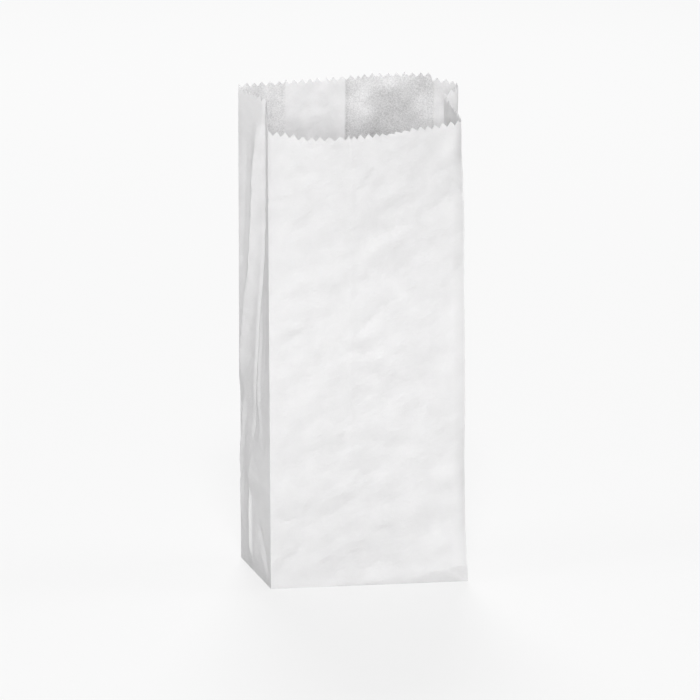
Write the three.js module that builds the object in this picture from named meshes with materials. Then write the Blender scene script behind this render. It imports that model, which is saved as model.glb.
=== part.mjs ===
// A white paper takeaway bag, standing open.
// One sheet is wrapped into a tube with a pasted seam down the back, pleated at both sides,
// cut across with a toothed blade, and folded shut at the base into a flat block bottom.
// Millimetres, +Z up. The front panel faces -Y, and the origin is the middle of the base's box.
import * as THREE from 'three';

// The made bag
const width = 130;            // front and back panels, from crease to crease
const gusset = 80;            // each side, both halves of its pleat
const wall = 0.12;            // one layer of paper
const frontHeight = 300;      // up to the tooth tips at the front left crease
const lip = 21;               // the back panel is cut this much higher than the front
const pleatRise = 15.3;       // the middle of each side is cut this much higher than the front
const cutRise = 3.5;          // the front and back cuts climb this much towards the right
const lipDip = 4.5;           // the front cut sinks this much where the panel swells
const rightNotch = 3.5;       // the side is cut this much under the back panel, at the right
const leftNotch = 1;          // the same at the left
const toothPitch = 5.3;
const toothHeight = 2.9;

// The pasted seam, measured from the back left crease
const seamStart = 30;         // to the outer flap's cut edge
const seamOverlap = 40;       // width where two layers lie on each other

// The block bottom
const baseSkew = -10.4;       // the opened base leans to the left by this much over its depth
const flapOverlap = 20;       // the back flap lies over the front flap by this much
const pleatPoint = 65;        // height where the base's folds run together on the pleat
const pleatPop = 3.5;         // how far that point stands out of the left side

// How the bag stands open: where each corner of the mouth is, seen from over its base corner
const frontLeftLean = new THREE.Vector2(-1, -2.5);
const frontRightLean = new THREE.Vector2(-4.5, 13);
const backRightLean = new THREE.Vector2(-0.3, 4);
const backLeftLean = new THREE.Vector2(0.4, -6);
const frontSwell = 11;        // the mouth's front edge stands this far out of its corners' line
const bodySwell = 3;          // the same for the front panel at half height
const backSwell = 1.5;        // the same for the back panel at the mouth
const leftPleat = 10.5;       // the left side is folded in by this much at the mouth
const rightPleat = 2.5;       // the right side likewise
const pleatStart = 90;        // height where the pleats begin to fold in
const rightPocket = 13;       // the right side's rear half springs out by this much at the mouth
const pocketStart = 140;      // height where that pocket begins
const swellPlace = 0.36;      // the front swells most at this share of its width

// How finely the surface is divided
const columnStep = 11;
const rowCount = 20;
const nearestColumn = 0.4;    // a tooth's corner this near to a column is left to that column

const layers = 3;             // paper under the floor of the bag
const floorHeight = layers * wall;
const backHeight = frontHeight + lip;
const pleatHeight = frontHeight + pleatRise;
const flapDepth = (gusset + flapOverlap) / 2;

const mix = (a, b, t) => a + (b - a) * t;
const smooth = (t) => THREE.MathUtils.smoothstep(t, 0, 1);
const hump = (t) => Math.sin(Math.PI * t);
const swellPower = Math.log(0.5) / Math.log(swellPlace);
const frontHump = (t) => hump(Math.pow(t, swellPower));

// The four upright creases: plan place at the base and how they lean up to the cut
const corner = (x, y, lean, top) => ({ base: new THREE.Vector2(x, y), lean, top });
const frontLeft = corner(0, 0, frontLeftLean, frontHeight);
const frontRight = corner(width, 0, frontRightLean, frontHeight + cutRise);
const backRight = corner(width + baseSkew, gusset, backRightLean, backHeight + cutRise);
const backLeft = corner(baseSkew, gusset, backLeftLean, backHeight);
const place = (crease, z) => crease.base.clone().addScaledVector(crease.lean, z / crease.top);

// The middle crease of a side: halfway between two corners, moved out of their line
const outOf = (a, b) => new THREE.Vector2(b.y - a.y, a.x - b.x).normalize();
function pleatPlace(a, b, z, fold, pop) {
  const inward = fold * smooth((z - pleatStart) / (pleatHeight - pleatStart));
  const point = pop * Math.max(0, 1 - Math.abs(z - pleatPoint) / (pleatPoint / 2));
  return a.clone().lerp(b, 0.5).addScaledVector(outOf(a, b), point - inward);
}
const rightMiddle = (z) =>
  pleatPlace(place(frontRight, z), place(backRight, z), z, rightPleat, 0);
const leftMiddle = (z) =>
  pleatPlace(place(backLeft, z), place(frontLeft, z), z, leftPleat, pleatPop);

// Panels in order round the bag, anticlockwise from above. Each runs from one crease to the next.
// blade is the place along the toothed blade, which is the same for layers that lie together.
// shoulder is the line of the notches between teeth, and extra is what stands above it.
const shoulderAt = {
  frontLeft: frontHeight - toothHeight,
  frontRight: frontHeight + cutRise - toothHeight,
  pleat: pleatHeight - toothHeight,
  backRight: backHeight + cutRise - rightNotch - toothHeight,
  backLeft: backHeight - leftNotch - toothHeight,
};
const none = () => 0;
const panels = [
  {
    length: width, blade: [0, width], extra: none,
    start: (z) => place(frontLeft, z), end: (z) => place(frontRight, z),
    shoulder: (t) => mix(shoulderAt.frontLeft, shoulderAt.frontRight, t) - lipDip * frontHump(t),
    swell: (t, w) => frontHump(t) * (frontSwell * w ** 3 + bodySwell * hump(w)),
  },
  {
    length: gusset / 2, blade: [width, width - gusset / 2], extra: none,
    start: (z) => place(frontRight, z), end: rightMiddle,
    shoulder: (t) => mix(shoulderAt.frontRight, shoulderAt.pleat, t),
    swell: none,
  },
  {
    length: gusset / 2, blade: [width - gusset / 2, width], extra: none,
    start: rightMiddle, end: (z) => place(backRight, z),
    shoulder: (t) => mix(shoulderAt.pleat, shoulderAt.backRight, 1 - (1 - t) ** 2),
    swell: (t, w) =>
      rightPocket * hump(t) * smooth((w * pleatHeight - pocketStart) / (pleatHeight - pocketStart)),
  },
  {
    length: width, blade: [width, 0], extra: (t) => mix(rightNotch, leftNotch, t),
    start: (z) => place(backRight, z), end: (z) => place(backLeft, z),
    shoulder: (t) => mix(shoulderAt.backRight, shoulderAt.backLeft, t),
    swell: (t, w) => backSwell * hump(t) * w,
  },
  {
    length: gusset / 2, blade: [0, gusset / 2], extra: none,
    start: (z) => place(backLeft, z), end: leftMiddle,
    shoulder: (t) => mix(shoulderAt.backLeft, shoulderAt.pleat, t),
    swell: none,
  },
  {
    length: gusset / 2, blade: [gusset / 2, 0], extra: none,
    start: leftMiddle, end: (z) => place(frontLeft, z),
    shoulder: (t) => mix(shoulderAt.pleat, shoulderAt.frontLeft, t),
    swell: none,
  },
];
const backPanel = panels[3];

// A point of the outer surface in plan, at share t of a panel and height z
function planPoint(panel, t, z) {
  const a = panel.start(z);
  const b = panel.end(z);
  const out = panel.swell(t, Math.min(1, z / panel.shoulder(t)));
  return a.clone().lerp(b, t).addScaledVector(outOf(a, b), out);
}
function outward(panel, t, z) {
  const step = 0.01;
  const before = planPoint(panel, Math.max(0, t - step), z);
  const after = planPoint(panel, Math.min(1, t + step), z);
  return outOf(before, after);
}

// How deep the outer and the inner face of the paper lie, on each side of every column.
// Only the back has more than one layer: left of the seam its sheet runs on the inside.
function depths(panel, t, side) {
  if (panel !== backPanel) return { outer: 0, inner: wall };
  const fromLeft = panel.length * (1 - t);
  const outerEdge = seamStart;
  const innerEdge = seamStart + seamOverlap;
  const past = (edge) => (side === 'before' ? fromLeft > edge - 1e-6 : fromLeft > edge + 1e-6);
  if (past(innerEdge)) return { outer: 0, inner: wall };
  if (past(outerEdge)) return { outer: 0, inner: 2 * wall };
  const tucked = wall * Math.min(1, fromLeft / outerEdge);
  return { outer: tucked, inner: tucked + wall };
}

// Columns: the coarse ones run from base to mouth, the fine ones only along the teeth
function panelStops(panel) {
  const stops = panel === backPanel
    ? [0, 1 - (seamStart + seamOverlap) / width, 1 - seamStart / width, 1]
    : [0, 1];
  const shares = [];
  for (let i = 0; i + 1 < stops.length; i++) {
    const span = (stops[i + 1] - stops[i]) * panel.length;
    const count = Math.max(1, Math.round(span / columnStep));
    for (let k = 0; k < count; k++) shares.push(mix(stops[i], stops[i + 1], k / count));
  }
  return { shares, seams: stops.slice(1, -1) };
}
function toothShares(panel, shares) {
  const [from, to] = panel.blade;
  const found = [];
  const low = Math.min(from, to);
  const high = Math.max(from, to);
  for (let k = Math.ceil(low / (toothPitch / 2)); k * toothPitch / 2 < high; k++) {
    const t = (k * toothPitch / 2 - from) / (to - from);
    const clear = [...shares, 1].every((s) => Math.abs(s - t) * panel.length > nearestColumn);
    if (clear) found.push(t);
  }
  return found;
}
const columns = [];
panels.forEach((panel, index) => {
  const { shares, seams } = panelStops(panel);
  const previous = panels[(index + panels.length - 1) % panels.length];
  for (const t of [...shares, ...toothShares(panel, shares)].sort((a, b) => a - b)) {
    const before = t === 0 ? { panel: previous, t: 1 } : { panel, t };
    const seam = seams.some((s) => Math.abs(s - t) < 1e-9);
    columns.push({ coarse: shares.includes(t), seam, before, after: { panel, t } });
  }
});

// Teeth stand on the shoulder line: 1 at a tip and 0 at a notch, with a tip at the left creases
function toothShare({ panel, t }) {
  const x = mix(panel.blade[0], panel.blade[1], t) / toothPitch;
  return Math.abs(2 * (x - Math.floor(x)) - 1);
}
const cutHeight = (at) =>
  at.panel.shoulder(at.t) + at.panel.extra(at.t) + toothHeight * toothShare(at);

// Places a column's outer and inner faces at height z, mitred where two panels meet
function faces(column, z, side) {
  const at = column[side];
  const p = planPoint(at.panel, at.t, z);
  const a = outward(column.before.panel, column.before.t, z);
  const b = outward(column.after.panel, column.after.t, z);
  const mitre = a.clone().add(b).divideScalar(1 + a.dot(b));
  const { outer, inner } = depths(at.panel, at.t, side);
  const point = (depth, height) =>
    new THREE.Vector3(p.x - mitre.x * depth, p.y - mitre.y * depth, height);
  return { outer: point(outer, z), inner: point(inner, z) };
}

// The shell's triangles
const corners = [];
function triangle(a, b, c) {
  const same = (p, q) => p.distanceTo(q) < 1e-6;
  if (same(a, b) || same(b, c) || same(c, a)) return;
  corners.push(a, b, c);
}
// Fills the strip between two upright rows of points, seen from the side that a to b runs right
function strip(left, right) {
  let i = 0;
  let j = 0;
  while (i + 1 < left.length || j + 1 < right.length) {
    const up = j + 1 >= right.length || (i + 1 < left.length && left[i + 1].z <= right[j + 1].z);
    if (up) triangle(left[i], right[j], left[++i]);
    else triangle(left[i], right[j], right[++j]);
  }
}
const turned = (face, left, right) => (face === 'outer' ? strip(left, right) : strip(right, left));

const coarse = columns.filter((c) => c.coarse);
const rowHeight = (column, row) => column.after.panel.shoulder(column.after.t) * row / rowCount;
const lastCoarseRow = rowCount - 1;
for (const face of ['outer', 'inner']) {
  const upright = (column, side) => {
    const points = [];
    for (let row = 0; row <= lastCoarseRow; row++) {
      const onFloor = row === 0 && face === 'inner';
      points.push(faces(column, onFloor ? floorHeight : rowHeight(column, row), side)[face]);
    }
    return points;
  };
  coarse.forEach((column, i) => {
    const next = coarse[(i + 1) % coarse.length];
    const left = upright(column, 'after');
    const right = upright(next, 'before');
    for (let row = 0; row < lastCoarseRow; row++) {
      turned(face, left.slice(row, row + 2), right.slice(row, row + 2));
    }
    // The step at a cut edge of the seam
    if (column.seam) {
      const behind = upright(column, 'before');
      for (let row = 0; row < lastCoarseRow; row++) {
        turned(face, behind.slice(row, row + 2), left.slice(row, row + 2));
      }
    }
  });
}

// From the last coarse row to the shoulder line, the columns open out into the teeth
function fan(face, from, to, middle) {
  const base = [
    faces(from, rowHeight(from, lastCoarseRow), 'after')[face],
    faces(to, rowHeight(to, lastCoarseRow), 'before')[face],
  ];
  const upper = [
    faces(from, rowHeight(from, rowCount), 'after')[face],
    ...middle.map((c) => faces(c, rowHeight(c, rowCount), 'after')[face]),
    faces(to, rowHeight(to, rowCount), 'before')[face],
  ];
  const half = Math.floor(upper.length / 2);
  const facing = (a, b, c) => (face === 'outer' ? triangle(a, b, c) : triangle(a, c, b));
  for (let k = 0; k + 1 < upper.length; k++) {
    facing(k < half ? base[0] : base[1], upper[k + 1], upper[k]);
  }
  facing(base[0], base[1], upper[half]);
}
for (const face of ['outer', 'inner']) {
  coarse.forEach((column, i) => {
    const next = coarse[(i + 1) % coarse.length];
    const first = columns.indexOf(column) + 1;
    const last = next === coarse[0] ? columns.length : columns.indexOf(next);
    fan(face, column, next, columns.slice(first, last));
    if (column.seam) {
      const rise = (side) => [lastCoarseRow, rowCount]
        .map((row) => faces(column, rowHeight(column, row), side)[face]);
      turned(face, rise('before'), rise('after'));
    }
  });
}

// The teeth, with the cut edge of the paper along their top
function riser(column, side, face) {
  const at = (z) => faces(column, z, side)[face];
  const low = rowHeight(column, rowCount);
  const heights = [low, cutHeight(column.before), cutHeight(column.after)];
  const own = cutHeight(column[side]);
  return [...new Set(heights)].filter((z) => z <= own + 1e-9).sort((a, b) => a - b).map(at);
}
columns.forEach((column, i) => {
  const next = columns[(i + 1) % columns.length];
  for (const face of ['outer', 'inner']) {
    turned(face, riser(column, 'after', face), riser(next, 'before', face));
    if (column.seam) turned(face, riser(column, 'before', face), riser(column, 'after', face));
  }
  const top = (c, side) => faces(c, cutHeight(c[side]), side);
  const edge = (a, b) => {
    triangle(a.outer, b.outer, b.inner);
    triangle(a.outer, b.inner, a.inner);
  };
  edge(top(column, 'after'), top(next, 'before'));
  edge(top(column, 'before'), top(column, 'after'));
});

// The faces of the bottom lie between an outline of the walls' feet and a chain of inner points.
// Both run anticlockwise from above, and the faces look down.
function skin(outline, chain) {
  const way = outline[outline.length - 1].clone().sub(outline[0]);
  const along = (p) => p.clone().sub(outline[0]).dot(way);
  let i = 0;
  let j = 0;
  while (i + 1 < outline.length || j + 1 < chain.length) {
    const outer = j + 1 >= chain.length
      || (i + 1 < outline.length && along(outline[i + 1]) <= along(chain[j + 1]));
    if (outer) triangle(outline[i], chain[j], outline[++i]);
    else triangle(outline[i], chain[j], chain[++j]);
  }
}
const feet = (list, face, z) => list.flatMap((c) => [
  faces(c, z, 'before')[face],
  faces(c, z, 'after')[face],
]);

// The floor inside the bag, round its middle
const floorRing = feet(coarse, 'inner', floorHeight);
const floorMiddle = new THREE.Box3().setFromPoints(floorRing).getCenter(new THREE.Vector3());
floorRing.forEach((p, i) => triangle(floorMiddle, p, floorRing[(i + 1) % floorRing.length]));

// Underneath, the back flap lies over the front flap, and both over the sides' corners
const under = (x, y, layer) =>
  new THREE.Vector3(x + baseSkew * y / gusset, y, layer * wall);
const middle = gusset / 2;
const backFlapEdge = gusset - flapDepth;
const panelFeet = (...chosen) => {
  const list = coarse.filter((c) => chosen.includes(c.after.panel));
  const next = coarse[(coarse.indexOf(list[list.length - 1]) + 1) % coarse.length];
  return [...feet(list, 'outer', 0).slice(1), faces(next, 0, 'before').outer];
};
const flapCorners = [flapDepth, width - flapDepth];
const meeting = [middle, width - middle];
const chain = (layer) => [
  under(meeting[0], middle, layer), under(flapCorners[0], backFlapEdge, layer),
  under(flapCorners[1], backFlapEdge, layer), under(meeting[1], middle, layer),
];
skin(panelFeet(panels[0]), chain(1));
skin(panelFeet(panels[1], panels[2]), [under(meeting[1], middle, 2)]);
skin(panelFeet(backPanel), chain(0).reverse());
skin(panelFeet(panels[4], panels[5]), [under(meeting[0], middle, 2)]);

// The edges of the flaps, each one layer high where it ends
const backCorners = [faces(coarse.find((c) => c.after.panel === panels[4]), 0, 'after').outer,
  faces(coarse.find((c) => c.after.panel === backPanel), 0, 'after').outer];
const frontCorners = [faces(coarse[0], 0, 'after').outer,
  faces(coarse.find((c) => c.after.panel === panels[1]), 0, 'after').outer];
for (const side of [0, 1]) {
  const facing = (a, b, c) => (side === 0 ? triangle(a, c, b) : triangle(a, b, c));
  const meet = [0, 1, 2].map((layer) => under(meeting[side], middle, layer));
  const flap = [0, 1].map((layer) => under(flapCorners[side], backFlapEdge, layer));
  facing(backCorners[side], meet[1], meet[0]);
  facing(backCorners[side], meet[2], meet[1]);
  facing(frontCorners[side], meet[1], meet[2]);
  facing(meet[0], meet[1], flap[1]);
  facing(meet[0], flap[1], flap[0]);
}
const flapEdge = (end, layer) => under(flapCorners[end], backFlapEdge, layer);
triangle(flapEdge(0, 0), flapEdge(1, 0), flapEdge(1, 1));
triangle(flapEdge(0, 0), flapEdge(1, 1), flapEdge(0, 1));

const geometry = new THREE.BufferGeometry().setFromPoints(corners);
geometry.computeBoundingBox();
const centre = geometry.boundingBox.getCenter(new THREE.Vector3());
geometry.translate(-centre.x, -centre.y, 0);
geometry.computeVertexNormals();

const paper = new THREE.MeshStandardMaterial({ color: 0xf1f1f0, roughness: 0.9, metalness: 0 });
const bag = new THREE.Mesh(geometry, paper);
bag.name = 'paper_bag';

const group = new THREE.Group();
group.add(bag);
export default group;
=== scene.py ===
# %% [markdown]
# A white paper bag, standing open.
# The real bag is one strip of thin paper. A machine wraps it into a flat tube with a pasted seam
# down the back, tucks a pleat into both sides, cuts it across with a toothed blade, and folds the
# lower end shut into a flat base. Here it has been opened and stood up, so every fold has sprung
# a little and the paper carries soft creases.
# The lesson lays out one fine grid as the strip, carries each of its points to the place it has in
# the folded bag, and then gives the paper its thickness, its creases and its cloudy surface.

import math
import random

import bmesh
import bpy
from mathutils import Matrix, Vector, noise


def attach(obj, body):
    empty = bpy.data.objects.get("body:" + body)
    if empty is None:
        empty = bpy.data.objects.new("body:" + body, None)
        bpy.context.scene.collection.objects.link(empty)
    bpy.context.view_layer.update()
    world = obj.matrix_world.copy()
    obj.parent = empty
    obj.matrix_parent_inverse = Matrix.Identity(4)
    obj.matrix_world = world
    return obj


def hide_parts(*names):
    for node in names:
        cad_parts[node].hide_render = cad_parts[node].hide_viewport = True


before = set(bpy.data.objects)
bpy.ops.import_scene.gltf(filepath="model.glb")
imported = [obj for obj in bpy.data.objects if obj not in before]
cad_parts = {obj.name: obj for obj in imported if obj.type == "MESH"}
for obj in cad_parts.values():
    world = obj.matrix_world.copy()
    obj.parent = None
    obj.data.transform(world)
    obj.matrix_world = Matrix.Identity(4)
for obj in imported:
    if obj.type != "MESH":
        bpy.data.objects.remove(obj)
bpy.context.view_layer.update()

# %% [markdown]
# The camera stands where the photograph was taken: well back, a little to the left and a little
# above. The far stand and the long lens keep the upright folds nearly parallel.

# %% Camera
eye = Vector((-0.31727, -2.13339, 0.60741))
looked_at = Vector((-0.00434, -0.00434, 0.150))
sensor_width = 36.0
focal_length = 173.464
lens_data = bpy.data.cameras.new("photo_camera")
lens_data.sensor_width = sensor_width
lens_data.lens = focal_length
camera = bpy.data.objects.new("photo_camera", lens_data)
camera.location = eye
camera.rotation_euler = (looked_at - eye).to_track_quat("-Z", "Y").to_euler()
bpy.context.scene.collection.objects.link(camera)
bpy.context.scene.camera = camera
print("camera is", round((looked_at - eye).length, 3), "m away")

# %% [markdown]
# The bag's own sizes, in millimetres. They are those of the solid model, so both agree. Heights are
# measured from the base, and the front left foot is the starting point. The base is a little out of
# square, so its back edge lies `base_lean` to the left. The pasted seam runs down the back: the
# outer layer is cut `seam_edge` from the back left fold, and the inner layer, which comes from that
# fold, reaches `seam_overlap` further under it.

# %% Sizes
width = 130.0
side_depth = 80.0
paper_thickness = 0.12
tooth_height = 2.9
base_lean = -10.4
front_left_foot = Vector((-61.080, -37.483))
pleat_height = 315.3
seam_edge = 30.5
seam_overlap = 39.8
print("front is", width, "mm wide and the sides are", side_depth, "mm deep")

# %% [markdown]
# Nearly all curves of the bag are made from four small functions: an eased step, a straight mix, a
# hump between two ends and a bell around one place. Their results are added and multiplied, which
# keeps every curve smooth.

# %% Curves to build with
def smooth(share):
    """Eases from 0 to 1, level at both ends."""
    share = min(1.0, max(0.0, share))
    return share * share * (3.0 - 2.0 * share)


def mix(a, b, share):
    return a + (b - a) * share


def hump(share):
    """0 at both ends and 1 in the middle."""
    return math.sin(math.pi * min(1.0, max(0.0, share)))


def bell(distance, reach):
    """1 where the distance is 0, and next to nothing at twice the reach."""
    return math.exp(-(distance / reach) ** 2)


print("a bell at its reach is", round(bell(1.0, 1.0), 2), "high")

# %% [markdown]
# An upright fold is a straight line from its foot to its place at the mouth. Two of them are bowed
# a little: the front right fold springs out towards the mouth and draws in above the foot, and the
# back left fold stands out from a third of its height.

# %% Upright folds
def fold_line(foot, lean, top):
    """A straight fold from its foot, which has moved by `lean` at the height `top`."""
    return lambda z: (foot[0] + lean[0] * z / top, foot[1] + lean[1] * z / top)


def bowed(line, bow):
    return lambda z: (line(z)[0] + bow(z), line(z)[1])


def right_bow(z):
    outwards = 0.9 * bell(z - 245.0, 45.0) + 0.9 * smooth((z - 262.0) / 38.0)
    inwards = 1.1 * smooth((170.0 - z) / 120.0) - 0.4
    return outwards - inwards * smooth(z / 14.0)


def left_bow(z):
    return -0.8 * smooth((z - 112.0) / 16.0)


front_left = fold_line(foot=(0.0, 0.0), lean=(-1.0, -2.5), top=300.0)
front_right = bowed(fold_line(foot=(width, 0.0), lean=(-4.5, 13.0), top=303.5), right_bow)
back_right = fold_line(foot=(width + base_lean, side_depth), lean=(-0.3, 4.0), top=324.5)
back_left = bowed(fold_line(foot=(base_lean, side_depth), lean=(0.4, -6.0), top=321.0), left_bow)
print("the front is", round(front_right(300.0)[0] - front_left(300.0)[0], 1), "mm wide at the mouth")

# %% [markdown]
# The middle fold of a side lies halfway between two upright folds. It is drawn inwards towards the
# mouth, where the pleat closes, and pushed out low down, where the folds of the base run together
# in a point.

# %% Middle folds
tip_height = 66.0
tip_fades_above = 34.0
tip_fades_below = 23.0
least_tip = 0.44
tuck_starts = 100.0


def out_of(a, b):
    """The level direction that faces out of the bag, for a side that runs from a to b."""
    x, y = b[1] - a[1], a[0] - b[0]
    length = math.hypot(x, y) or 1.0
    return (x / length, y / length)


def pleat_line(start, end, tuck, point, tucked_at):
    """A middle fold that is pushed out by `point` at the tip and drawn in by `tuck` higher up."""
    def place(z):
        a, b = start(z), end(z)
        out = out_of(a, b)
        if z > tip_height:
            tip = point * max(0.0, 1.0 - (z - tip_height) / tip_fades_above)
        else:
            tip = point * max(1.0 - (tip_height - z) / tip_fades_below, least_tip) * smooth(z / 16.0)
        away = tip - tuck * smooth((z - tuck_starts) / (tucked_at - tuck_starts))
        return ((a[0] + b[0]) / 2 + out[0] * away, (a[1] + b[1]) / 2 + out[1] * away)
    return place


left_middle = pleat_line(back_left, front_left, tuck=8.2, point=5.0, tucked_at=250.0)
right_middle = pleat_line(front_right, back_right, tuck=2.5, point=0.5, tucked_at=pleat_height)
print("left middle fold at the mouth:", [round(v, 1) for v in left_middle(pleat_height)])

# %% [markdown]
# The top is cut with a toothed blade, lower on the front than on the back. Each side has its own
# line for the notches between the teeth, and the teeth stand on it. The blade cuts all layers at
# once while the bag is flat, so a tooth's place is counted along the blade.

# %% The lines of the cut
notch_front_left = 297.1
notch_front_right = 300.6
notch_pleat = 312.4
notch_back_right = 318.1
notch_back_left = 317.1
teeth_across = 24.5
teeth_in_half_side = 7.5
fullest_at = 0.36
swell_power = math.log(0.5) / math.log(fullest_at)


def front_hump(share):
    """A hump whose top lies at the share `fullest_at` instead of in the middle."""
    return hump(max(share, 1e-9) ** swell_power)


def front_notches(share):
    s = share * width
    dip = 4.5 * front_hump(share)
    higher = 1.8 * bell(s - 9.0, 10.0) + 1.3 * bell(s - 86.0, 13.0)
    lower = 0.9 * smooth((s - 95.0) / 20.0)
    return mix(notch_front_left, notch_front_right, share) - dip + higher - lower


def back_notches(share):
    near_side = min(1.0, share / 0.012)
    extra = mix(3.5, 1.0, share)
    crown = 1.4 * bell(share - 0.27, 0.2)
    return mix(notch_back_right, notch_back_left, share) + (extra + crown) * near_side


def right_back_notches(share):
    return mix(notch_pleat, notch_back_right, 1.0 - (1.0 - share) ** 2)


def straight_notches(start, end):
    return lambda share: mix(start, end, share)


right_front_notches = straight_notches(notch_front_right, notch_pleat)
left_back_notches = straight_notches(notch_back_left, notch_pleat)
left_front_notches = straight_notches(notch_pleat, notch_front_left)
print("in the middle the back is", round(back_notches(0.5) - front_notches(0.5), 1), "mm higher")

# %% [markdown]
# How the paper stands out of the flat side between two folds. The front bellies out at the mouth,
# and the rear half of the right side springs out into a pocket.

# %% Bulges
mouth_bulge = 11.0
waist_bulge = 3.0
pocket_depth = 13.0
pocket_starts = 140.0
back_bulge = 1.5


def front_swell(share, height):
    return front_hump(share) * (mouth_bulge * height ** 3 + waist_bulge * hump(height))


def pocket_swell(share, height):
    opening = smooth((height * pleat_height - pocket_starts) / (pleat_height - pocket_starts))
    return pocket_depth * hump(share) * opening


def back_swell(share, height):
    return back_bulge * hump(share) * height


def no_swell(share, height):
    return 0.0


print("the front bulges", round(front_swell(fullest_at, 1.0), 1), "mm at the mouth")

# %% [markdown]
# The creases of the paper. A crease is a straight line on one side of the bag. The paper dips or
# rises towards it, steeply on one hand and slowly on the other, so light catches one flank. Lines
# are given in millimetres from the side's first fold and up from the base. A crease fades out at
# both ends, but not where it runs into a fold.

# %% Creases
fading_share = 0.3
fold_end_share = 0.5


def crease(s, z, line):
    """How far the paper moves at a point, for a line of (start, end, reach above, below, depth)."""
    (s0, z0), (s1, z1), above, below, depth = line
    along_s, along_z = s1 - s0, z1 - z0
    length = math.hypot(along_s, along_z)
    along = ((s - s0) * along_s + (z - z0) * along_z) / length
    if along < 0.0 or along > length:
        return 0.0
    across = ((z - z0) * along_s - (s - s0) * along_z) / length
    reach = above if across > 0 else below
    near = 1.0 - abs(across) / reach
    if near <= 0.0:
        return 0.0
    ends = smooth(min(along, length - along) / (fading_share * length))
    if max(s0, s1) == width:
        ends = max(ends, smooth(along / (fold_end_share * length)))
    elif min(s0, s1) == 0:
        ends = max(ends, smooth((length - along) / (fold_end_share * length)))
    return depth * near * near * (1.5 - 0.5 * near) * ends


front_creases = [
    ((56, 224), (93, 239), 18, 6, -0.75),
    ((88, 237), (130, 257), 14, 6, -0.55),
    ((53, 169.5), (83, 186.5), 13, 7, -0.27),
    ((55, 197), (68, 205), 7, 7, -0.35),
    ((56, 257), (70, 277), 5, 5, -0.35),
    ((67, 258), (78, 271), 4, 5, -0.25),
    ((114, 213), (130, 207), 9, 7, -0.45),
    ((118, 266), (130, 257), 7, 5, -0.3),
    ((0, 254.5), (17, 257.5), 6, 5, -0.35),
    ((55, 152), (78, 160), 8, 8, -0.4),
    ((57, 93), (78, 98), 7, 8, -0.35),
    ((55, 72), (78, 80), 8, 8, -0.45),
    ((53, 35), (84, 37), 9, 8, -0.4),
    ((0, 43.5), (22, 46.5), 8, 5, -0.4),
    ((28, 51), (40, 46), 6, 6, -0.25),
    ((86, 110), (104, 122), 8, 8, -0.4),
    ((92, 1.0), (106, 8.6), 5, 3, 0.28),
    ((103, 8.4), (120, 8.8), 2.5, 6, 0.26),
    ((116, 9.6), (130, 1.0), 7, 2, -0.42),
    ((117, 9.2), (130, 12.8), 2.5, 7, 0.3),
]
print(len(front_creases), "creases on the front")

# %% [markdown]
# Between the marked creases the paper is crossed by many short, shallow ones. Their places are
# drawn at random, with a fixed start so that every run gives the same bag.

# %% Small creases
draw = random.Random(11)
lowest = 14.0
highest = 292.0
usual_slant = 18.0
slant_spread = 28.0


def small_creases(count, length):
    lines = []
    for _ in range(count):
        s = draw.uniform(5.0, length - 5.0)
        z = draw.uniform(lowest, highest)
        angle = math.radians(draw.gauss(usual_slant, slant_spread))
        half = draw.uniform(4.0, 13.0)
        along = (half * math.cos(angle), half * math.sin(angle))
        depth = draw.choice((-1.0, 1.0)) * draw.uniform(0.2, 0.62)
        above, below = draw.uniform(2.0, 6.0), draw.uniform(2.0, 6.0)
        start, end = (s - along[0], z - along[1]), (s + along[0], z + along[1])
        lines.append((start, end, above, below, depth))
    return lines


crumple = {"front": small_creases(70, width), "back": small_creases(50, width),
           "inner_flap": small_creases(24, width)}
for half_side in ("left_back", "left_front", "right_front", "right_back"):
    crumple[half_side] = small_creases(16, side_depth / 2)
print(sum(len(lines) for lines in crumple.values()), "small creases")

# %% [markdown]
# Along the right part of the front's foot the paper has been pressed under, so it turns away
# below a slanting line. The line starts in the foot's middle and climbs to the right edge.

# %% The pressed foot of the front
foot_line = [(36.0, 0.0), (70.0, 3.2), (101.0, 7.6), (118.0, 8.2), (124.0, 11.0), (130.0, 12.5)]
foot_slope = 0.14
foot_fades = 26.0
least_foot = 0.3


def foot_height(s):
    for (s0, z0), (s1, z1) in zip(foot_line, foot_line[1:]):
        if s <= s1:
            return mix(z0, z1, max(0.0, (s - s0) / (s1 - s0)))
    return foot_line[-1][1]


def pressed_foot(s, z):
    top = foot_height(s)
    if top < least_foot:
        return 0.0
    out = foot_slope * top
    if z < top:
        return out * (1.0 - (1.0 - z / top) ** 2)
    return out * max(0.0, 1.0 - (z - top) / foot_fades) ** 2


print("at the right edge the pressed foot is", foot_height(width), "mm high")

# %% [markdown]
# The marks of the front add up. To its creases and its pressed foot come the line that the seam
# behind it has pressed in, the lean under the rolled lip, and the right edge, which is rounded near
# the mouth and again above the foot.

# %% The marks of the front
crease_strength = 2.5
seam_mark_at = 52.3
seam_mark_height = 0.26
edge_margin = 6.5
edge_rounding = 2.8


def front_relief(s, z, notch):
    moved = crease_strength * sum(crease(s, z, line) for line in front_creases)
    moved += pressed_foot(s, z)
    reach = 0.9 if s < seam_mark_at else 3.5
    seam_mark = max(0.0, 1.0 - abs(s - seam_mark_at) / reach)
    moved += seam_mark_height * seam_mark * smooth((z - 70) / 20) * smooth((300 - z) / 12)
    under_lip = smooth((s - 60) / 20) * smooth((118 - s) / 14)
    from_top = notch - z
    moved += under_lip * hump((30.0 - from_top) / 40.0)
    margin = max(0.0, (s - (width - edge_margin)) / edge_margin) ** 2
    rounded = smooth((z - 262) / 22) + 0.8 * smooth((z - 20) / 20) * smooth((110 - z) / 30)
    moved -= edge_rounding * margin * min(1.0, rounded)
    return moved

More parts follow.
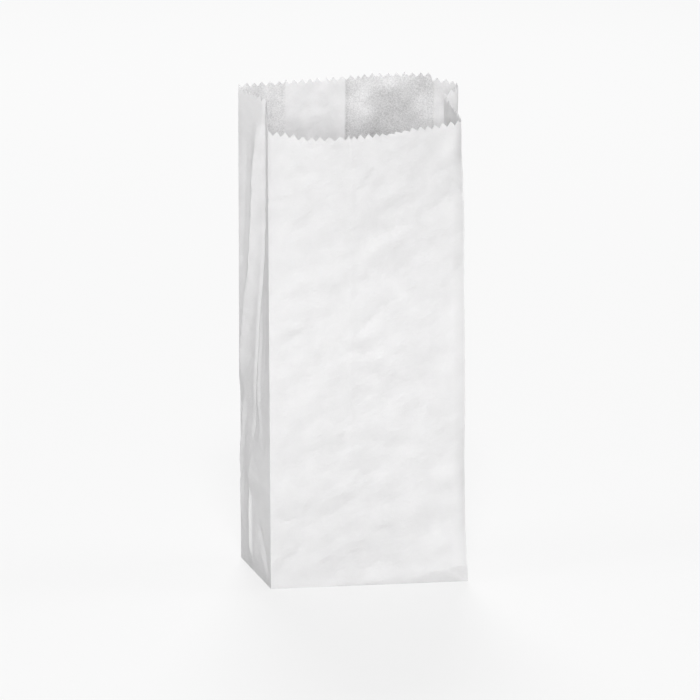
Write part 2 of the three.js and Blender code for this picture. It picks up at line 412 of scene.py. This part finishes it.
# %% [markdown]
# Paper that has been handled is never quite flat. A slow noise, longer across the bag than up it
# and slightly slanting, gives it soft waves, and a finer one gives a slight crumple. Both fade at
# the folds, which stay straight.

# %% Soft waves
slant_cosine = 0.94
slant_sine = 0.34
crumple_strength = 1.1


def waves(s, z, seed, strength):
    slant_s = s * slant_cosine + z * slant_sine
    slant_z = z * slant_cosine - s * slant_sine
    slow = noise.noise(Vector((slant_s / 46.0, slant_z / 21.0, seed)))
    middle = noise.noise(Vector((slant_s / 19.0, slant_z / 11.0, seed + 7.3)))
    fine = noise.noise(Vector((s / 6.5, z / 5.0, seed + 3.1)))
    return strength * (0.56 * slow + 0.42 * middle + 0.12 * fine)


def fold_fade(s, length, reach):
    """0 on the folds at both ends of a side and 1 from `reach` inwards."""
    return smooth(s / reach) * smooth((length - s) / reach)


def crumpled(name, s, z, length):
    fade = fold_fade(s, length, 5.0) * smooth(z / 10.0)
    return crumple_strength * sum(crease(s, z, line) for line in crumple[name]) * fade

# %% [markdown]
# The sides, in order along the strip of paper. The strip starts with the flap inside the back,
# runs round the left side, the front and the right side, and ends with the flap outside the back.
# Each side has a number of columns that gives every tooth four of them, so tips and notches fall
# on columns.

# %% The strip's sides
columns_across = 98
columns_in_half = 30
inner_flap_columns = 53
outer_flap_start = 75


def side(name, start, end, length, notches, swell, columns, first, last, blade):
    return dict(name=name, start=start, end=end, length=length, notches=notches, swell=swell,
                columns=columns, first=first, last=last, blade=blade)


flap_share = 1.0 - inner_flap_columns / columns_across
outer_share = outer_flap_start / columns_across
strip = [
    side("inner_flap", back_right, back_left, width, back_notches, back_swell,
         inner_flap_columns, flap_share, 1.0, (teeth_across, 0.0)),
    side("left_back", back_left, left_middle, side_depth / 2, left_back_notches, no_swell,
         columns_in_half, 0.0, 1.0, (0.0, teeth_in_half_side)),
    side("left_front", left_middle, front_left, side_depth / 2, left_front_notches, no_swell,
         columns_in_half, 0.0, 1.0, (teeth_in_half_side, 0.0)),
    side("front", front_left, front_right, width, front_notches, front_swell,
         columns_across, 0.0, 1.0, (0.0, teeth_across)),
    side("right_front", front_right, right_middle, side_depth / 2, right_front_notches, no_swell,
         columns_in_half, 0.0, 1.0, (teeth_across, teeth_across - teeth_in_half_side)),
    side("right_back", right_middle, back_right, side_depth / 2, right_back_notches, pocket_swell,
         columns_in_half, 0.0, 1.0, (teeth_across - teeth_in_half_side, teeth_across)),
    side("back", back_right, back_left, width, back_notches, back_swell,
         outer_flap_start, 0.0, outer_share, (teeth_across, 0.0)),
]
places = []
for part in strip:
    for k in range(part["columns"]):
        places.append((part, mix(part["first"], part["last"], k / part["columns"])))
places.append((strip[-1], outer_share))
front_side = next(part for part in strip if part["name"] == "front")
print("the strip has", len(places), "columns of points")

# %% [markdown]
# The rows go up the bag: close together at the foot and at the mouth, where the paper bends most,
# and about 2.7 mm apart between. Below the foot a few more rows belong to the folded base, and
# their numbers say how far they lie under it. The last row is the cut itself.

# %% The rows
base_depths = [50.0, 40.0, 30.0, 20.0, 10.0, 4.0, 1.2, 0.35]
foot_rows = [0.0, 0.35, 1.0, 2.0, 3.5, 5.0, 6.5, 8.0, 9.5, 11.0, 13.0, 15.5]
top_rows = [12.0, 10.0, 8.4, 7.0, 5.8, 4.7, 3.7, 2.8, 1.9, 1.0]
middle_count = 100


def row_heights(notch):
    low = foot_rows[-1]
    high = notch - top_rows[0]
    middle = [mix(low, high, k / middle_count) for k in range(1, middle_count)]
    return foot_rows + middle + [notch - down for down in top_rows]


row_count = len(base_depths) + len(row_heights(300.0)) + 1
print("and", row_count, "rows of points")

# %% [markdown]
# The left side is the one that shows its pleat. Its middle fold is pinched into a narrow groove
# higher up. A soft ridge runs down its rear half from the mouth to the back fold, and low down,
# where the base was folded up against the front, slanting creases meet on the middle fold.

# %% The left side's folds
left_back_creases = [
    ((30, 305), (20, 176), 16, 10, 3.6),
    ((22, 208), (5, 116), 15, 9, 3.0),
    ((14, 300), (4, 190), 8, 8, -0.7),
    ((37, 68), (37, 2), 3, 15, 2.0),
    ((40, 68), (4, 4), 9, 9, -0.35),
    ((13, 130), (4, 20), 9, 8, 1.7),
]
left_front_creases = [
    ((12, 44), (38, 2), 6, 8, -1.1),
    ((6, 200), (16, 84), 6, 9, 1.4),
    ((22, 240), (26, 120), 7, 7, -0.5),
]
groove_reach = 4.5
groove_depth = 2.6
fold_dent = 0.5


def groove(from_middle, z):
    near = max(0.0, 1.0 - from_middle / groove_reach)
    pinch = smooth((z - 76.0) / 110.0) * (1.0 - 0.7 * smooth((z - 280.0) / 28.0))
    return -groove_depth * near * near * pinch - fold_dent * near * smooth((z - 70.0) / 30.0)


def left_folds(name, s, z):
    if name == "left_back":
        from_middle, creases = side_depth / 2 - s, left_back_creases
    elif name == "left_front":
        from_middle, creases = s, left_front_creases
    else:
        return 0.0
    return groove(from_middle, z) + sum(crease(s, z, line) for line in creases)


print(len(left_back_creases) + len(left_front_creases), "creases on the left side")

# %% [markdown]
# The back has two layers where it is pasted. The inner one runs one layer further in, and near its
# cut edge it has come away from the paste a little. The outer one lifts slightly at its cut edge.

# %% The back's seam
layer_step = 0.17
loose_starts = 62.0
loose_width = 8.3
loose_gap = 1.7
outer_lift = 0.45


def back_relief(name, s, z):
    moved = waves(s, z, 11.0, 1.0) * fold_fade(s, width, 9.0) * smooth(z / 12.0)
    if name == "inner_flap":
        from_left = width - s
        moved -= layer_step * smooth(from_left / seam_edge)
        loose = smooth((from_left - loose_starts) / loose_width)
        moved -= loose_gap * loose * (0.3 + 0.7 * smooth((z - 240.0) / 60.0))
    else:
        from_edge = outer_share * width - s
        moved += outer_lift * smooth(1.0 - from_edge / 5.0) * smooth(z / 12.0)
    return moved


print("the outer layer ends", round(width * (1.0 - outer_share), 1), "mm from the left fold")

# %% [markdown]
# Where a point of a side is. It is placed on the plain side first, as seen from above, and then
# moved out or in by the side's relief, square to the paper.

# %% A point of a side
share_step = 0.012
side_waves = {"left_back": (23.0, 0.9), "left_front": (31.0, 0.7),
              "right_front": (43.0, 0.8), "right_back": (57.0, 0.8)}


def flat_place(part, share, z):
    a, b = part["start"](z), part["end"](z)
    height = min(1.0, max(0.0, z) / part["notches"](share))
    out = out_of(a, b)
    away = part["swell"](share, height)
    return (mix(a[0], b[0], share) + out[0] * away, mix(a[1], b[1], share) + out[1] * away)


def facing(part, share, z):
    before = flat_place(part, max(0.0, share - share_step), z)
    after = flat_place(part, min(1.0, share + share_step), z)
    return out_of(before, after)


def larger_relief(part, share, z):
    name, length = part["name"], part["length"]
    s = share * length
    if name == "front":
        wavy = waves(s, z, 2.0, 2.5) * fold_fade(s, length, 9.0) * smooth(z / 10.0)
        return front_relief(s, z, part["notches"](share)) + wavy
    if name in ("inner_flap", "back"):
        return back_relief(name, s, z)
    seed, strength = side_waves[name]
    fade = fold_fade(s, length, 7.0) * smooth(z / 12.0)
    return waves(s, z, seed, strength) * fade + left_folds(name, s, z)


def relief(part, share, z):
    """How far the paper of this side stands out of its plain shape."""
    s = share * part["length"]
    return crumpled(part["name"], s, z, part["length"]) + larger_relief(part, share, z)


print("half up, the front's middle stands out", round(relief(front_side, 0.5, 150.0), 2), "mm")

# %% [markdown]
# Where a crease of the front runs into an upright fold, the fold moves with it, and the first
# few millimetres of the side behind are taken along.

# %% Folds that move with the front
follow_reach = 9.0


def follow_front(part, share, z, x, y):
    """Takes a point of a side along with the front's edge, if it lies close behind it."""
    if part["name"] == "right_front":
        from_fold, front_share = share * part["length"], 1.0
    elif part["name"] == "left_front":
        from_fold, front_share = (1.0 - share) * part["length"], 0.0
    else:
        return x, y
    if from_fold >= follow_reach:
        return x, y
    near = (1.0 - from_fold / follow_reach) ** 2
    out = facing(front_side, front_share, z)
    height = min(z, front_side["notches"](front_share) - 0.5)
    moved = relief(front_side, front_share, height) * near
    return x + out[0] * moved, y + out[1] * moved

# %% [markdown]
# On the right half of the mouth the cut edge of the front has rolled inwards, so its teeth point
# away and the edge looks smooth. The paper follows an arc: the further up it is, the more it has
# turned. The arc keeps the paper's length, so the rolled edge also ends a little lower.

# %% The rolled lip
lip_reach = 5.6
lip_radius = 5.6
least_roll = 0.12


def rolled(s, from_top):
    """How far a point near the cut has gone inwards and how far it stays below its height."""
    past = lip_reach - from_top
    if past <= 0.0:
        return 0.0, 0.0
    strength = smooth((s - 66.0) / 14.0) * mix(1.0, 0.45, smooth((s - 88.0) / 12.0))
    strength = strength * smooth((121.0 - s) / 12.0) + least_roll
    radius = lip_radius / strength
    turn = past / radius
    return radius * (1.0 - math.cos(turn)), past - radius * math.sin(turn)


print("the lip goes in by up to", round(rolled(84.0, 0.0)[0], 1), "mm at the notches")

# %% [markdown]
# The teeth are cut by one blade, but each dries and bends on its own. A little noise makes them
# differ in height, and bends their tips in or out.

# %% Teeth
uneven_height = 0.22
ragged_cut = 0.12
tip_bend = 1.1


def tooth(part, share):
    """How far a column reaches up its tooth (1 at a tip, 0 at a notch) and its place on the blade."""
    place = mix(part["blade"][0], part["blade"][1], share)
    return abs(2.0 * (place - math.floor(place)) - 1.0), place


def cut_point(part, share, seed):
    up, place = tooth(part, share)
    size = 1.0 + uneven_height * noise.noise(Vector((round(place) * 3.7, seed, 0.5)))
    return tooth_height * up * size + ragged_cut * noise.noise(Vector((place, seed, 9.0)))


def tooth_bend(part, share, seed):
    up, place = tooth(part, share)
    return tip_bend * up * noise.noise(Vector((round(place) * 1.9, seed, 4.5)))


print("one tooth is", round(width / teeth_across, 2), "mm wide")

# %% [markdown]
# The blade was not quite even either: some teeth are wider than others. Near the mouth the
# columns slide sideways a little, and with them the teeth.

# %% Uneven teeth
def slid(part, share, z):
    """The share of a point after its column has slid sideways."""
    length = part["length"]
    s = share * length
    near = smooth((z - part["notches"](share) + 45.0) / 40.0)
    if near == 0.0:
        return share
    if part["name"] == "front":
        shift = 3.3 * bell(s - 45.5, 6.5) - 0.8 * bell(s - 12.0, 9.0)
    else:
        place = mix(part["blade"][0], part["blade"][1], share)
        shift = 1.5 * noise.noise(Vector((place / 1.6, 14.0, 2.5)))
    shift *= fold_fade(s, length, 6.0)
    return share + near * shift / length

# %% [markdown]
# The folded base. Seen from below, the front and the back flap are trapezia with slanting ends,
# the back flap lies on top, and the ends of the two sides show as triangles between them. A column
# that would reach past a slanting fold stops on it.

# %% A point of the base
layer_height = {"front": 0.30, "back": 0.0, "inner_flap": 0.14}
side_height = 0.55
base_rise = 4.0


def base_place(part, share, depth):
    name = part["name"]
    half = side_depth / 2
    s = share * part["length"]
    if name in layer_height:
        s = min(max(s, depth), width - depth)
        x, y = (s, depth) if name == "front" else (width - s, side_depth - depth)
        z = layer_height[name] * smooth(depth / base_rise)
    else:
        depth = min(depth, half)
        x = depth if name.startswith("left") else width - depth
        if name == "left_back":
            y = side_depth - max(s, depth)
        elif name == "left_front":
            y = half - s if s < half - depth else depth
        elif name == "right_front":
            y = max(s, depth)
        else:
            y = half + s if s < half - depth else side_depth - depth
        z = side_height * smooth(depth / base_rise)
    return (x + base_lean * y / side_depth, y, z)

# %% [markdown]
# The finish has to know where it is on the bag, so each point of the strip carries four numbers.
# `mottle` says how speckled the paper looks, which is strong on the back panel and faint elsewhere.
# `double` is 1 where two layers are pasted together. The third darkens the inside: three soft
# darker spots near the mouth, painted shade on all that lies low behind the front, and a painted
# shadow line beside the cut edge of the inner layer. The fourth is painted shade seen from outside:
# the front darker towards the mouth and along its right edge, where the paper turns away, and a
# faint painted shadow line beside the outer cut edge of the seam.

# %% What the finish is told
plain_mottle = 0.15
seam_blur = 2.5
# Three soft darker spots inside near the mouth: across, up, reach and depth.
dark_spots = [(24.0, 304.0, 14.0, 3.2), (9.0, 318.0, 8.0, 2.2), (44.0, 284.0, 16.0, 1.2)]


def spots_and_shade_at(s, z, double):
    spots = sum(depth * math.exp(-((s - at) ** 2 + (z - up) ** 2) / reach ** 2)
                for at, up, reach, depth in dark_spots) * (1.0 - double)
    # Painted shade: the inside grows darker low down, where the front stands before the back.
    behind_front = smooth((301.0 - z) / 18.0) * mix(0.9, 0.4, double)
    return spots + behind_front


def finish_at(name, share, z):
    """The mottle, double, inside shade and spots, and outside painted shade of a point."""
    s = share * width
    from_left = width * (1.0 - share)
    if name == "inner_flap":
        past_outer = from_left - seam_edge + 1.0
        double = smooth(past_outer / seam_blur)
        # A faint painted shadow line on the inner layer's outside, beside the outer cut edge.
        return 1.0, double, spots_and_shade_at(s, z, double), 0.7 * bell(past_outer, 1.0)
    if name == "back":
        past_inner = from_left - seam_edge - seam_overlap
        double = 1.0 - smooth((past_inner + 1.0) / seam_blur)
        # A painted shadow line lies just beside the cut edge of the inner layer.
        return 1.0, double, spots_and_shade_at(s, z, double) + 1.8 * bell(past_inner - 1.3, 1.2), 0.0
    if name == "front":
        # Painted shade: darker towards the mouth and along the right edge, where the paper turns
        # away.
        margin = max(0.0, (s - 122.0) / 8.0)
        shaded = smooth((z - 170.0) / 120.0) + 0.7 * margin * smooth(z / 20.0)
        return plain_mottle, 0.0, 0.0, shaded
    return plain_mottle, 0.0, 0.0, 0.0


print("the front's mouth counts as handled by", finish_at("front", 0.5, 296.0)[3])

# %% [markdown]
# Now the strip itself. `create_grid` gives a flat net of points with the right number of columns
# and rows, already joined by faces. Each point is then carried to its place in the bag, which is
# how the real strip becomes a bag too: nothing is cut, it is only folded.

# %% Fold the strip
def sheet_point(column, row, heights):
    part, share = places[column]
    if row < len(base_depths):
        return base_place(part, share, base_depths[row])
    seed = float(strip.index(part))
    index = row - len(base_depths)
    on_cut = index == len(heights)
    z = part["notches"](share) + cut_point(part, share, seed) if on_cut else heights[index]
    moved = tooth_bend(part, share, seed) if on_cut else 0.0
    from_notch = part["notches"](share) - z
    share = slid(part, share, z)
    x, y = flat_place(part, share, z)
    out = facing(part, share, z)
    moved += relief(part, share, z)
    if part["name"] == "front":
        inward, lower = rolled(share * width, from_notch)
        moved -= inward
        z -= lower
    x, y = follow_front(part, share, z, x, y)
    return (x + out[0] * moved, y + out[1] * moved, z)


def in_frame(point):
    """From millimetres and the front left foot to metres and the frame's origin."""
    return Vector((point[0] + front_left_foot.x, point[1] + front_left_foot.y, point[2])) / 1000.0


sheet = bmesh.new()
across = len(places) - 1
upward = row_count - 1
bmesh.ops.create_grid(sheet, x_segments=across, y_segments=upward, size=1.0)
heights_at = [row_heights(part["notches"](share)) for part, share in places]
layer_names = ("mottle", "double", "spots_and_shade", "shaded")
layers = [sheet.verts.layers.float.new(name) for name in layer_names]
for vert in sheet.verts:
    column = round((vert.co.x + 1.0) / 2.0 * across)
    row = round((vert.co.y + 1.0) / 2.0 * upward)
    part, share = places[column]
    vert.co = in_frame(sheet_point(column, row, heights_at[column]))
    for layer, value in zip(layers, finish_at(part["name"], share, vert.co.z * 1000.0)):
        vert[layer] = value
print("folded strip:", len(sheet.verts), "points,", len(sheet.faces), "faces")

# %% [markdown]
# Where the columns of the base meet on a slanting fold they lie on each other, so they are merged
# and the faces without any area are dissolved. A last plain sheet makes the floor inside, where
# the ends of the two sides lie flat over the flaps.

# %% The base
inset = 0.5
floor_height = 1.0
floor_wave = 0.25
floor_mottle = 0.3
bmesh.ops.remove_doubles(sheet, verts=sheet.verts, dist=1e-6)
bmesh.ops.dissolve_degenerate(sheet, edges=sheet.edges, dist=1e-7)
floor_made = bmesh.ops.create_grid(sheet, x_segments=26, y_segments=16, size=1.0)
mottle = sheet.verts.layers.float["mottle"]
for vert in floor_made["verts"]:
    s = min(max((vert.co.x + 1.0) / 2.0 * width, inset), width - inset)
    y = min(max((vert.co.y + 1.0) / 2.0 * side_depth, inset), side_depth - inset)
    z = floor_height + floor_wave * noise.noise(Vector((s / 18.0, y / 18.0, 6.0)))
    vert.co = in_frame((s + base_lean * y / side_depth, y, z))
    vert[mottle] = floor_mottle
sheet_mesh = bpy.data.meshes.new("bag_sheet")
sheet.to_mesh(sheet_mesh)
sheet.free()
bag_sheet = bpy.data.objects.new("bag_sheet", sheet_mesh)
bpy.context.scene.collection.objects.link(bag_sheet)
print("with its base:", len(sheet_mesh.polygons), "faces")

# %% [markdown]
# The paper has two finishes, one for the outside and one for the inside, so functions build their
# nodes. The first three only make the rest easier to read: they add a noise, a sum or product of
# two values, and a number that the mesh carries.

# %% Node helpers
def noise_of(tree, place, scale, detail, rough):
    texture = tree.nodes.new("ShaderNodeTexNoise")
    texture.inputs["Scale"].default_value = scale
    texture.inputs["Detail"].default_value = detail
    texture.inputs["Roughness"].default_value = rough
    tree.links.new(place, texture.inputs["Vector"])
    return texture.outputs["Fac"]


def math_of(tree, kind, a, b):
    node = tree.nodes.new("ShaderNodeMath")
    node.operation = kind
    for socket, value in zip(node.inputs, (a, b)):
        if isinstance(value, (int, float)):
            socket.default_value = value
        else:
            tree.links.new(value, socket)
    return node.outputs[0]


def carried(tree, label):
    node = tree.nodes.new("ShaderNodeAttribute")
    node.attribute_name = label
    return node.outputs["Fac"]

# %% [markdown]
# The colour of the paper is an even white with faint clouds, because the fibres settle unevenly.
# Where one layer hangs alone and is seen from inside, there is a fine speckle too, and the paper is
# a little greyer. Where two layers are pasted together it looks smoother and whiter. Shade is also
# painted into the colour. Inside it lies in darker spots, low behind the front and beside the inner
# layer's cut edge. Outside it lies towards the front's mouth, along its right edge and beside the
# outer cut edge. The patterns read Object coordinates, so they stay put on the bag.

# %% The paper's colour
white = (0.885, 0.882, 0.885)
least_speckle = 0.15
blotch_share = 1.5
cloud_share = 0.15
even_cloud_share = 0.4
pasted_gain = 1.8


def paper_colour(tree, where, cloud_strength, inside_darkening_strength, painted_shade_strength):
    mottle, double = carried(tree, "mottle"), carried(tree, "double")
    single = math_of(tree, "SUBTRACT", 1.0, double)
    amount = math_of(tree, "MULTIPLY", mottle, single)
    amount = math_of(tree, "MULTIPLY", amount, 1.0 - least_speckle)
    amount = math_of(tree, "ADD", amount, least_speckle)
    blotches = noise_of(tree, where, scale=1100.0, detail=5.0, rough=0.8)
    blotches = math_of(tree, "SUBTRACT", blotches, 0.5)
    clouds = noise_of(tree, where, scale=75.0, detail=3.0, rough=0.5)
    clouds = math_of(tree, "SUBTRACT", clouds, 0.5)
    speckle = math_of(tree, "ADD", math_of(tree, "MULTIPLY", blotches, blotch_share),
                      math_of(tree, "MULTIPLY", clouds, cloud_share))
    speckle = math_of(tree, "MULTIPLY", speckle, amount)
    speckle = math_of(tree, "MULTIPLY", speckle, cloud_strength)
    even_clouds = math_of(tree, "MULTIPLY", clouds, even_cloud_share * cloud_strength)
    change = math_of(tree, "ADD", speckle, even_clouds)
    # Inside, the speckled single layer is greyer, and the painted shade and darker spots from the
    # mesh darken it more.
    inside_darkening = math_of(tree, "ADD", mottle, carried(tree, "spots_and_shade"))
    inside_darkening = math_of(tree, "MULTIPLY", inside_darkening, inside_darkening_strength)
    whiter = math_of(tree, "SUBTRACT", 1.0, math_of(tree, "MULTIPLY", double, pasted_gain))
    # Outside, the painted shade carried by the mesh greys the colour.
    painted_shade_loss = math_of(tree, "MULTIPLY", carried(tree, "shaded"), painted_shade_strength)
    loss = math_of(tree, "ADD", math_of(tree, "MULTIPLY", inside_darkening, whiter), painted_shade_loss)
    level = math_of(tree, "SUBTRACT", math_of(tree, "ADD", 1.0, change), loss)
    tint = tree.nodes.new("ShaderNodeVectorMath")
    tint.operation = "SCALE"
    tint.inputs[0].default_value = white
    tree.links.new(level, tint.inputs["Scale"])
    return tint.outputs["Vector"]

# %% [markdown]
# The surface has two bumps, one on the other. The coarse one is the crumple that is finer than the
# modelled creases. It runs along slanting lines, so a Mapping node of the type Texture turns its
# noise and stretches it. The fine one is the tooth of the fibres.

# %% The paper's surface
crumple_slant = math.radians(-24.0)
crumple_stretch = (1.9, 1.9, 0.8)
felt_share = 1.6


def bump_of(tree, height, strength, distance):
    bump = tree.nodes.new("ShaderNodeBump")
    bump.inputs["Strength"].default_value = strength
    bump.inputs["Distance"].default_value = distance
    tree.links.new(height, bump.inputs["Height"])
    return bump


def paper_normal(tree, where):
    stretched = tree.nodes.new("ShaderNodeMapping")
    stretched.vector_type = "TEXTURE"
    stretched.inputs["Rotation"].default_value = (0.0, crumple_slant, 0.0)
    stretched.inputs["Scale"].default_value = crumple_stretch
    tree.links.new(where, stretched.inputs["Vector"])
    folds = noise_of(tree, stretched.outputs["Vector"], scale=105.0, detail=5.0, rough=0.62)
    coarse = bump_of(tree, folds, strength=0.8, distance=0.0013)
    felt = noise_of(tree, where, scale=230.0, detail=3.0, rough=0.5)
    felt = math_of(tree, "MULTIPLY", felt, felt_share)
    hairs = noise_of(tree, where, scale=900.0, detail=4.0, rough=0.6)
    fibres = math_of(tree, "ADD", hairs, felt)
    fine = bump_of(tree, fibres, strength=0.35, distance=0.00012)
    tree.links.new(coarse.outputs["Normal"], fine.inputs["Normal"])
    return fine.outputs["Normal"]

# %% [markdown]
# Paper is matt, so the main shader is rough and hardly shines. Thin paper also lets some light
# through, so a share of a Translucent shader is mixed in: it is what keeps the inside of the bag
# pale. From outside the colour takes only the painted shade for the outside. From inside it takes
# the greyer speckled single layer, the darker spots and the painted shade for the inside.

# %% The two finishes
light_let_through = 0.30
roughness = 0.9
shine = 0.25


def paper_material(name, cloud_strength, inside_darkening_strength, painted_shade_strength):
    material = bpy.data.materials.new(name)
    material.use_nodes = True
    tree = material.node_tree
    where = tree.nodes.new("ShaderNodeTexCoord").outputs["Object"]
    colour = paper_colour(tree, where, cloud_strength, inside_darkening_strength, painted_shade_strength)
    matt = tree.nodes["Principled BSDF"]
    matt.inputs["Roughness"].default_value = roughness
    matt.inputs["Specular IOR Level"].default_value = shine
    tree.links.new(colour, matt.inputs["Base Color"])
    tree.links.new(paper_normal(tree, where), matt.inputs["Normal"])
    glow = tree.nodes.new("ShaderNodeBsdfTranslucent")
    tree.links.new(colour, glow.inputs["Color"])
    both = tree.nodes.new("ShaderNodeMixShader")
    both.inputs["Fac"].default_value = light_let_through
    tree.links.new(matt.outputs["BSDF"], both.inputs[1])
    tree.links.new(glow.outputs["BSDF"], both.inputs[2])
    tree.links.new(both.outputs["Shader"], tree.nodes["Material Output"].inputs["Surface"])
    return material


outside = paper_material("paper_outside", cloud_strength=0.2, inside_darkening_strength=0.0, painted_shade_strength=0.10)
inside = paper_material("paper_inside", cloud_strength=0.75, inside_darkening_strength=0.07, painted_shade_strength=0.0)
bag_sheet.data.materials.append(outside)
bag_sheet.data.materials.append(inside)
print("paper finishes:", [m.name for m in bag_sheet.data.materials])

# %% [markdown]
# The strip gets its thickness from the Solidify modifier, growing inwards, and its inner face
# takes the second finish. The modifier is then made real, so that edges sharper than a soft bend
# can be marked: the pressed folds and the cut edge stay crisp while the waves stay soft.

# %% Thickness and crisp folds
sharpest_bend = math.radians(24.0)
thick = bag_sheet.modifiers.new("paper_thickness", "SOLIDIFY")
thick.thickness = paper_thickness / 1000.0
thick.offset = -1.0
thick.material_offset = 1
thick.use_rim = True
evaluated = bag_sheet.evaluated_get(bpy.context.evaluated_depsgraph_get())
solid_mesh = bpy.data.meshes.new_from_object(evaluated)
bag_sheet.modifiers.clear()
bag_sheet.data = solid_mesh
solid_mesh.name = "bag_sheet"
solid_mesh.shade_smooth()
solid_mesh.set_sharp_from_angle(angle=sharpest_bend)
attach(bag_sheet, "root")
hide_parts("paper_bag")
triangles = sum(len(polygon.vertices) - 2 for polygon in solid_mesh.polygons)
print("bag_sheet has", triangles, "triangles")

# %% [markdown]
# A plain pale floor. It is far larger than the view, so no edge shows. For the camera it is mixed
# with an even white, so it looks paler than it lights, and it keeps the soft shadow of the bag.

# %% Floor
floor_size = 20.0
floor_grey = (0.68, 0.68, 0.68, 1.0)
pure_white = (1.0, 1.0, 1.0, 1.0)
pale_strength = 0.96
pale_share = 0.72
ground = bmesh.new()
bmesh.ops.create_grid(ground, x_segments=1, y_segments=1, size=floor_size)
floor_mesh = bpy.data.meshes.new("floor")
ground.to_mesh(floor_mesh)
ground.free()
floor = bpy.data.objects.new("floor", floor_mesh)
bpy.context.scene.collection.objects.link(floor)
floor_paint = bpy.data.materials.new("floor_paint")
floor_paint.use_nodes = True
tree = floor_paint.node_tree
plain = tree.nodes["Principled BSDF"]
plain.inputs["Base Color"].default_value = floor_grey
plain.inputs["Roughness"].default_value = 0.9
pale = tree.nodes.new("ShaderNodeEmission")
pale.inputs["Color"].default_value = pure_white
pale.inputs["Strength"].default_value = pale_strength
seen = tree.nodes.new("ShaderNodeLightPath").outputs["Is Camera Ray"]
blend = tree.nodes.new("ShaderNodeMixShader")
tree.links.new(math_of(tree, "MULTIPLY", seen, pale_share), blend.inputs["Fac"])
tree.links.new(plain.outputs["BSDF"], blend.inputs[1])
tree.links.new(pale.outputs["Emission"], blend.inputs[2])
tree.links.new(blend.outputs["Shader"], tree.nodes["Material Output"].inputs["Surface"])
floor_mesh.materials.append(floor_paint)
print("the floor is", 2.0 * floor_size, "m wide")

# %% [markdown]
# The light is that of a soft studio: an even pale surround and five large lamps. Four of them hang
# high up around the bag, so that they also reach into the open mouth. The strongest is behind: it
# shines through the thin back, which keeps the inside pale. The front one makes the front the
# palest side, and a low one beside it lights the lower front. The side lamps are weak, so the left
# side stays grey.

# %% Light
surround_strength = 0.37
bag_middle = (0.0, 0.0, 0.18)
bag_foot = (0.0, 0.0, 0.02)
world = bpy.data.worlds.new("surround")
world.use_nodes = True
bpy.context.scene.world = world
surround = world.node_tree.nodes["Background"]
surround.inputs["Color"].default_value = pure_white
surround.inputs["Strength"].default_value = surround_strength


def soft_lamp(name, place, aim, size, power):
    data = bpy.data.lights.new(name, "AREA")
    data.shape = "DISK"
    data.size = size
    data.energy = power
    lamp = bpy.data.objects.new(name, data)
    lamp.location = place
    lamp.rotation_euler = (Vector(aim) - Vector(place)).to_track_quat("-Z", "Y").to_euler()
    bpy.context.scene.collection.objects.link(lamp)
    print(name, "has", power, "watts")


soft_lamp("front_lamp", (-0.45, -4.0, 4.3), bag_middle, size=1.4, power=158.0)
soft_lamp("low_lamp", (-0.6, -3.5, 0.45), bag_foot, size=1.0, power=37.0)
soft_lamp("left_lamp", (-4.0, -0.7, 4.2), bag_middle, size=2.0, power=34.0)
soft_lamp("right_lamp", (4.0, -0.3, 4.2), bag_middle, size=2.0, power=40.0)
soft_lamp("back_lamp", (0.3, 4.0, 4.3), bag_middle, size=2.0, power=195.0)
bpy.context.scene.view_settings.view_transform = "Standard"
